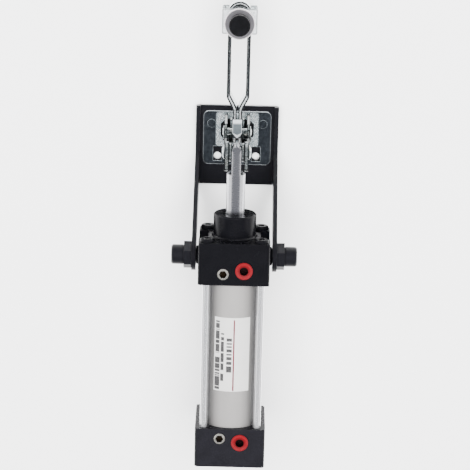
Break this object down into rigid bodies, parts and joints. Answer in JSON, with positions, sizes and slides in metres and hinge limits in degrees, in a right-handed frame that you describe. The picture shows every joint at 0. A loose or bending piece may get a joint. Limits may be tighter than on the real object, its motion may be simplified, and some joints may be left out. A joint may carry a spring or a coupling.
{
  "type": "pneumatic toggle clamp",
  "caption": "Hold-down toggle clamp driven by a tie-rod air cylinder that hangs on trunnions in a U-bracket, with a U-bar arm and an adjustable rubber-tipped spindle.",
  "frame": {"origin": "centre of the clamp base on the bracket's mounting face", "axes": "+Z out of the mounting face towards the clamp, +Y along the closed arm towards the spindle, +X across the clamp"},
  "size_m": [0.0886, 0.3275, 0.0916],
  "materials": {
    "black_steel": "satin black oxide",
    "zinc_sheet": "bright clear zinc plate",
    "zinc_pins": "bright zinc plate",
    "turned_steel": "turned bare steel",
    "pad_rubber": "matt black rubber",
    "black_aluminium": "satin black anodised die casting",
    "barrel_aluminium": "satin anodised",
    "chrome_rod": "polished hard chrome",
    "bronze": "machined bronze",
    "seal_rubber": "matt black nitrile",
    "guide_plastic": "matt filled PTFE",
    "plug_plastic": "red moulded polythene",
    "label_film": "off-white printed film"
  },
  "bodies": {
    "base": {"bracket": "black_steel", "base_flange": "zinc_sheet", "base_upright_left": "zinc_sheet", "base_upright_right": "zinc_sheet", "arm_pivot_pin": "zinc_pins", "link_studs": "zinc_pins", "base_rivets": "zinc_pins"},
    "arm": {"arm": "zinc_sheet", "arm_stop": "zinc_sheet", "lever_pivot_pin": "zinc_pins"},
    "lever": {"lever_left": "zinc_sheet", "lever_right": "zinc_sheet", "lever_cheek_left": "zinc_sheet", "lever_cheek_right": "zinc_sheet", "rod_pin": "zinc_pins", "link_rivets": "zinc_pins"},
    "link": {"link_left": "zinc_sheet", "link_right": "zinc_sheet"},
    "spindle_clamp": {"washer_upper": "zinc_sheet", "nut_upper": "zinc_pins", "washer_lower": "zinc_sheet", "nut_lower": "zinc_pins"},
    "spindle": {"spindle_screw": "zinc_pins", "spindle_collar": "turned_steel", "spindle_pad": "pad_rubber"},
    "cylinder": {"head_cap": "black_aluminium", "rear_cap": "black_aluminium", "barrel": "barrel_aluminium", "barrel_seals": "seal_rubber", "label": "label_film", "gland": "black_aluminium", "rod_bush": "bronze", "rod_seal": "seal_rubber", "tie_rods": "turned_steel", "tie_rod_nuts_front": "black_aluminium", "tie_rod_nuts_rear": "black_aluminium", "trunnion_screw_left": "black_steel", "trunnion_screw_right": "black_steel", "trunnion_nut_left": "black_steel", "trunnion_nut_right": "black_steel", "trunnion_collar_left": "black_steel", "trunnion_collar_right": "black_steel"},
    "rod": {"piston_rod": "chrome_rod", "piston": "barrel_aluminium", "piston_seals": "seal_rubber", "piston_guide_band": "guide_plastic", "piston_nut": "turned_steel"},
    "plug_front": {"port_plug_front": "plug_plastic"},
    "plug_rear": {"port_plug_rear": "plug_plastic"},
    "needle_front": {"cushion_needle_front": "turned_steel"},
    "needle_rear": {"cushion_needle_rear": "turned_steel"}
  },
  "joints": [
    {"name": "arm_swing", "type": "hinge", "parent": "base", "child": "arm", "pos_m": [0, 0.0102, 0.0314], "axis": [1, 0, 0], "range_deg": [0, 87]},
    {"name": "lever_swing", "type": "hinge", "parent": "arm", "child": "lever", "pos_m": [0, 0.0135, 0.0231], "axis": [1, 0, 0], "range_deg": [-39.58, 0]},
    {"name": "link_swing", "type": "hinge", "parent": "base", "child": "link", "pos_m": [0, 0.0044, 0.0205], "axis": [1, 0, 0], "range_deg": [0, 120.6]},
    {"name": "cylinder_swing", "type": "hinge", "parent": "base", "child": "cylinder", "pos_m": [0, -0.072, 0.065], "axis": [1, 0, 0], "range_deg": [-11.36, 0]},
    {"name": "rod_slide", "type": "slide", "parent": "cylinder", "child": "rod", "axis": [0, 1, 0], "range_m": [-0.0212, 0]},
    {"name": "spindle_position", "type": "slide", "parent": "arm", "child": "spindle_clamp", "axis": [0, 1, 0], "range_m": [-0.03, 0.005]},
    {"name": "spindle_height", "type": "slide", "parent": "spindle_clamp", "child": "spindle", "axis": [0, 0, 1], "range_m": [-0.001, 0.006]},
    {"name": "plug_front_pull", "type": "slide", "parent": "cylinder", "child": "plug_front", "axis": [0, 0, 1], "range_m": [0, 0.012]},
    {"name": "plug_rear_pull", "type": "slide", "parent": "cylinder", "child": "plug_rear", "axis": [0, 0, 1], "range_m": [0, 0.012]},
    {"name": "needle_front_turn", "type": "hinge", "parent": "cylinder", "child": "needle_front", "pos_m": [-0.0074, -0.0791, 0.09], "axis": [0, 0, 1], "range_deg": [0, 720]},
    {"name": "needle_rear_turn", "type": "hinge", "parent": "cylinder", "child": "needle_rear", "pos_m": [-0.0074, -0.2009, 0.09], "axis": [0, 0, 1], "range_deg": [0, 720]}
  ],
  "couplings": [
    {"joint": "lever_swing", "follows": "arm_swing", "ratio": -0.4547},
    {"joint": "link_swing", "follows": "arm_swing", "ratio": 1.3861},
    {"joint": "cylinder_swing", "follows": "arm_swing", "ratio": -0.13037},
    {"joint": "rod_slide", "follows": "arm_swing", "m_per_rad": -0.013895}
  ]
}
